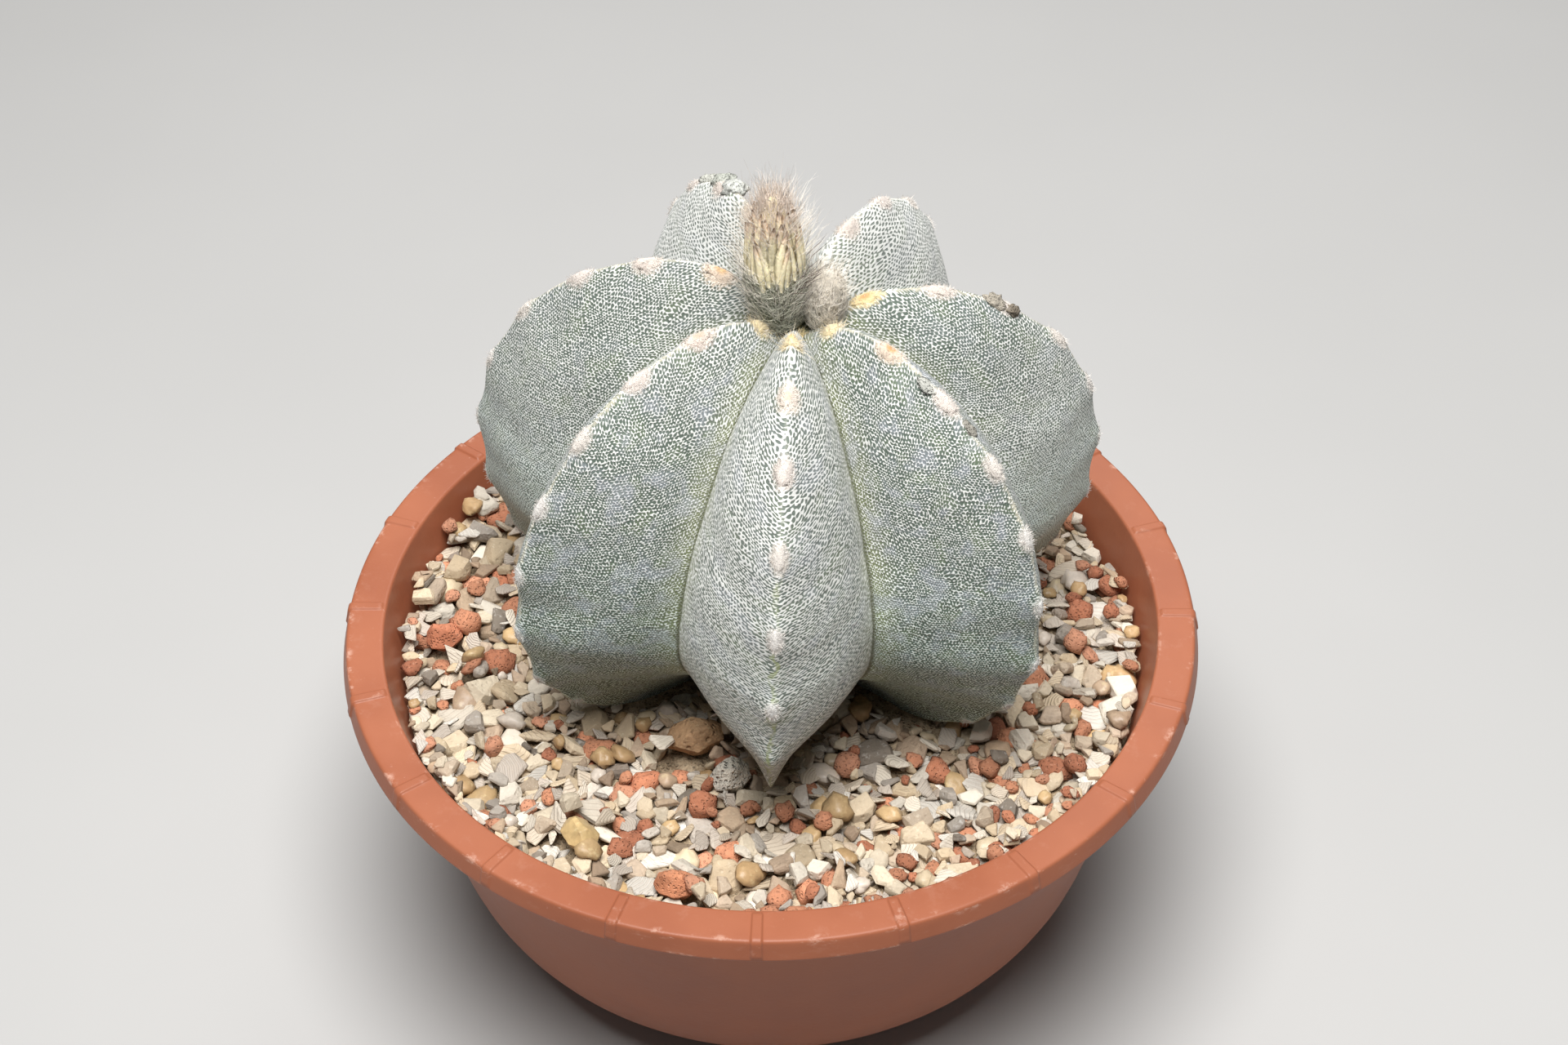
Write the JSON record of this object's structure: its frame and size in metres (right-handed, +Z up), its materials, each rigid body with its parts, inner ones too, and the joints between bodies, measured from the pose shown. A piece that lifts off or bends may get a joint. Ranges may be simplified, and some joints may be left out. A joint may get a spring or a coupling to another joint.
{
  "type": "potted astrophytum cactus",
  "caption": "Ribbed star cactus with woolly flower buds, planted in a shallow plastic bowl of potting mix and gravel.",
  "frame": {"origin": "centre of the bowl's flat base, on the surface that it stands on", "axes": "+Z up along the bowl's axis; the pictured front looks towards -Y"},
  "size_m": [0.1588, 0.1588, 0.1636],
  "materials": {
    "bowl_plastic": "moulded terracotta-coloured plastic with a soft sheen",
    "potting_mix": "damp crumbly soil",
    "gravel": "dry crushed shell and stone",
    "brown_stone": "dry rough stone",
    "speckled_stone": "dry speckled stone",
    "yellow_stone": "smooth worn quartz",
    "crushed_clay": "dry porous fired clay",
    "cactus_skin": "green skin under dense pale felt flecks",
    "bud_scales": "papery scales with bristles and hair",
    "bud_wool": "grey wool"
  },
  "bodies": {
    "root": {"bowl": "bowl_plastic", "potting_mix": "potting_mix", "gravel": "gravel", "brown_stone": "brown_stone", "speckled_stone": "speckled_stone", "yellow_pebble": "yellow_stone", "front_clay_lump": "crushed_clay", "left_clay_lump": "crushed_clay", "cactus": "cactus_skin", "flower_bud": "bud_scales", "second_bud": "bud_wool"}
  },
  "joints": []
}
